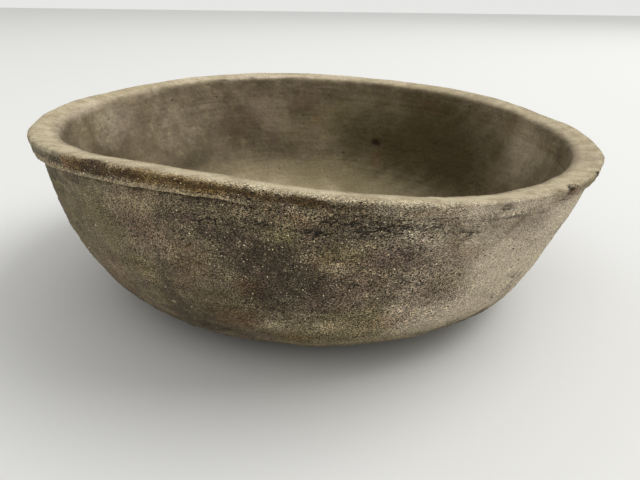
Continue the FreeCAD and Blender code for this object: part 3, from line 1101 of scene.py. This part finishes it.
def ringHeights(places, down):
    turn = turnOf(places)
    total = np.zeros(len(places))
    for ringDown, half, height, at, lasts in rings:
        strength = np.clip(1.3 - np.abs(turnFrom(turn, at)) / math.radians(lasts), 0, 1)
        wander = 0.5 * np.sin(5 * turn + ringDown) + 0.3 * np.sin(13 * turn)
        across = np.clip(1 - ((down / mm - ringDown + wander * 0.6) / half) ** 2, 0, 1)
        total += height * strength * (1 + 0.35 * wander) * across ** 1.5
    return total * mm


def wavesAt(places, name):
    directions, starts = fraying[name]
    return np.sin(places @ np.array(directions) + np.array(starts))


def frayedSpots(spots, reach, places, down):
    # how near each point is to the spots, 1 at a spot's middle and 0 at its edge
    turn = turnOf(places)
    radius = np.hypot(places[:, 0], places[:, 1])
    wobble = wavesAt(places, "slow") + fraying["quickShare"] * wavesAt(places, "quick")
    wobble *= fraying["wobble"]
    fray = wavesAt(places, "fine").sum(axis=1) * fraying["fray"]
    total = np.zeros(len(places))
    for spotTurn, spotDown, along, across, amount, *tilt in spots:
        around = turnFrom(turn, spotTurn) * radius / mm + wobble[:, 0] * along
        below = down / mm - spotDown + wobble[:, 1] * across + fray
        lean = math.radians(tilt[0]) if tilt else 0.0
        run = (around * math.cos(lean) + below * math.sin(lean)) / along
        rise = (below * math.cos(lean) - around * math.sin(lean)) / across
        near = np.clip(1 - (run ** 2 + rise ** 2) / reach ** 2, 0, 1)
        total = np.maximum(total, amount * near) if reach > 1 else total + amount * near ** 1.5
    return total


def readLayer(mesh, name, field, width=1):
    values = np.empty(len(mesh.vertices) * width, np.float32)
    mesh.attributes[name].data.foreach_get(field, values)
    return values


def writeLayer(layer, field, values):
    layer.data.foreach_set(field, values.astype(np.float32).ravel())


def markPiece(piece):
    # press the marks into the skin and lay the stains, the painted fold shade and ledge highlight down as
    # attributes of the points
    mesh = piece.data
    places, faces = [
        readLayer(mesh, name, "vector", 3).reshape(-1, 3).astype(float) for name in ("position", "faces")
    ]
    down, relief, onSkin = [readLayer(mesh, name, "value") for name in ("down", "relief", "skin")]
    pressed = (frayedSpots(marks, 1.0, places, down) * mm - ringHeights(places, down)) * onSkin
    moved = places - faces * pressed[:, None] + smearOut(places, down) * onSkin[:, None]
    writeLayer(mesh.attributes["position"], "vector", moved)
    writeLayer(mesh.attributes["relief"], "value", relief - pressed)
    for name, spots in stains.items():
        layer = mesh.attributes.new(name, "FLOAT", "POINT")
        writeLayer(layer, "value", frayedSpots(spots, 1.35, places, down) * onSkin)
    mesh.update()


skin, joints = sectionStretches()
measured = measureSkin(skin)
tree = turnedTree()
group = clayGroup()
clays = {name: clayMaterial(name, group) for name in ("firedClayFoot", "firedClayWall", "firedClayRim")}

pieceRows = {
    "base_pad": ["foot", "heel", "joint0", "floorRise", "floor"],
    "lower_wall_coil": ["outside0", "joint1", "inside0", "-joint0"],
    "middle_wall_coil": ["outside1", "joint2", "inside1", "-joint1"],
    "upper_wall_coil": ["outside2", "joint3", "inside2", "-joint2"],
    "rim_band": ["rim", "-joint3"],
}
pieceFinish = {
    "base_pad": ("firedClayFoot", "fired_clay_foot"),
    "rim_band": ("firedClayRim", "fired_clay_rim"),
}
pieces = {}
for node, names in pieceRows.items():
    rows = sectionRows(names, skin, joints, measured)
    closed = node != "base_pad"
    clay = clays[pieceFinish.get(node, ("firedClayWall", ""))[0]]
    piece = sweepPiece(node + ".clay", rows, closed, tree, clay)
    markPiece(piece)
    pieces[node] = piece
    print("swept", node, len(rows), "rows,", len(piece.data.vertices), "points")

grit = scatterTemper(pieces)
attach(grit, "root")
print("scattered", len(grit.data.polygons) // 20, "stones")

for node, piece in pieces.items():
    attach(piece, "root")
    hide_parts(node)


studio = {
    "floor": paint(226, 226, 223),
    "floorReach": 9.0,
    "floorRoughness": 0.9,
    "floorSpecular": 0.05,
    "backdrop": paint(231, 231, 229),
    "overhead": 0.94,
    "horizon": 0.34,
    "sideways": 0.20,
    "windowSize": 2.9,
    "windowPower": 112.0,
    "windowPlace": (2.7, 0.35, 3.75),
}


def addStage():
    mesh = bpy.data.meshes.new("tableTop")
    reach = studio["floorReach"]
    corners = [(-reach, -reach, 0), (reach, -reach, 0), (reach, reach, 0), (-reach, reach, 0)]
    mesh.from_pydata(corners, [], [(0, 1, 2, 3)])
    material, tree, shader = startMaterial("paleTable")
    plug(shader, {
        "Base Color": studio["floor"],
        "Roughness": studio["floorRoughness"],
        "Specular IOR Level": studio["floorSpecular"],
    })
    mesh.materials.append(material)
    addObject("tableTop", mesh)


def addLights():
    world = bpy.data.worlds.new("studio")
    bpy.context.scene.world = world
    world.use_nodes = True
    tree = world.node_tree
    soft = tree.nodes["Background"]
    toRight, upward = split(addNode(tree, "ShaderNodeTexCoord", outs=("Generated",)))[::2]
    strength = fade(upward, 0.0, 1.0, studio["horizon"], studio["overhead"])
    strength = strength * (toRight * studio["sideways"] + 1.0)
    plug(soft, {"Color": (1.0, 1.0, 1.0, 1.0), "Strength": strength})
    seen = addNode(tree, "ShaderNodeBackground", {"Color": studio["backdrop"], "Strength": 1.0})
    rays = ("Is Camera Ray", "Is Glossy Ray", "Is Transmission Ray")
    camera, glossy, passing = addNode(tree, "ShaderNodeLightPath", outs=rays)
    direct = mathNode("MAXIMUM", mathNode("MAXIMUM", camera, glossy), passing)
    both = addNode(tree, "ShaderNodeMixShader", {0: direct, 1: Wire(tree, soft.outputs[0]), 2: seen})
    plug(tree.nodes["World Output"], {"Surface": both})
    lamp = bpy.data.lights.new("windowLight", "AREA")
    lamp.shape = "SQUARE"
    lamp.size = studio["windowSize"]
    lamp.energy = studio["windowPower"]
    light = addObject("windowLight", lamp)
    light.location = studio["windowPlace"]
    light.rotation_euler = (-light.location).to_track_quat("-Z", "Y").to_euler()


# the camera as fitted to the photograph, whose width and focal length are in pixels
view = {
    "across": 3.2 * mm,
    "away": 299.3 * mm,
    "height": 146.5 * mm,
    "pitch": 24.2,
    "roll": 0.74,
    "focal": 530,
    "photoWidth": 640,
    "sensorWidth": 36,
    "nearest": 10 * mm,
}


def addCamera():
    lens = bpy.data.cameras.new("camera")
    lens.sensor_width = view["sensorWidth"]
    lens.lens = view["focal"] / view["photoWidth"] * view["sensorWidth"]
    lens.clip_start = view["nearest"]
    camera = addObject("camera", lens)
    pitch = Matrix.Rotation(math.radians(90 - view["pitch"]), 4, "X")
    roll = Matrix.Rotation(math.radians(view["roll"]), 4, "Z")
    place = Matrix.Translation((view["across"], -view["away"], view["height"]))
    camera.matrix_world = place @ (pitch @ roll)
    bpy.context.scene.camera = camera


addStage()
addLights()
addCamera()
bpy.context.scene.view_settings.view_transform = "Standard"
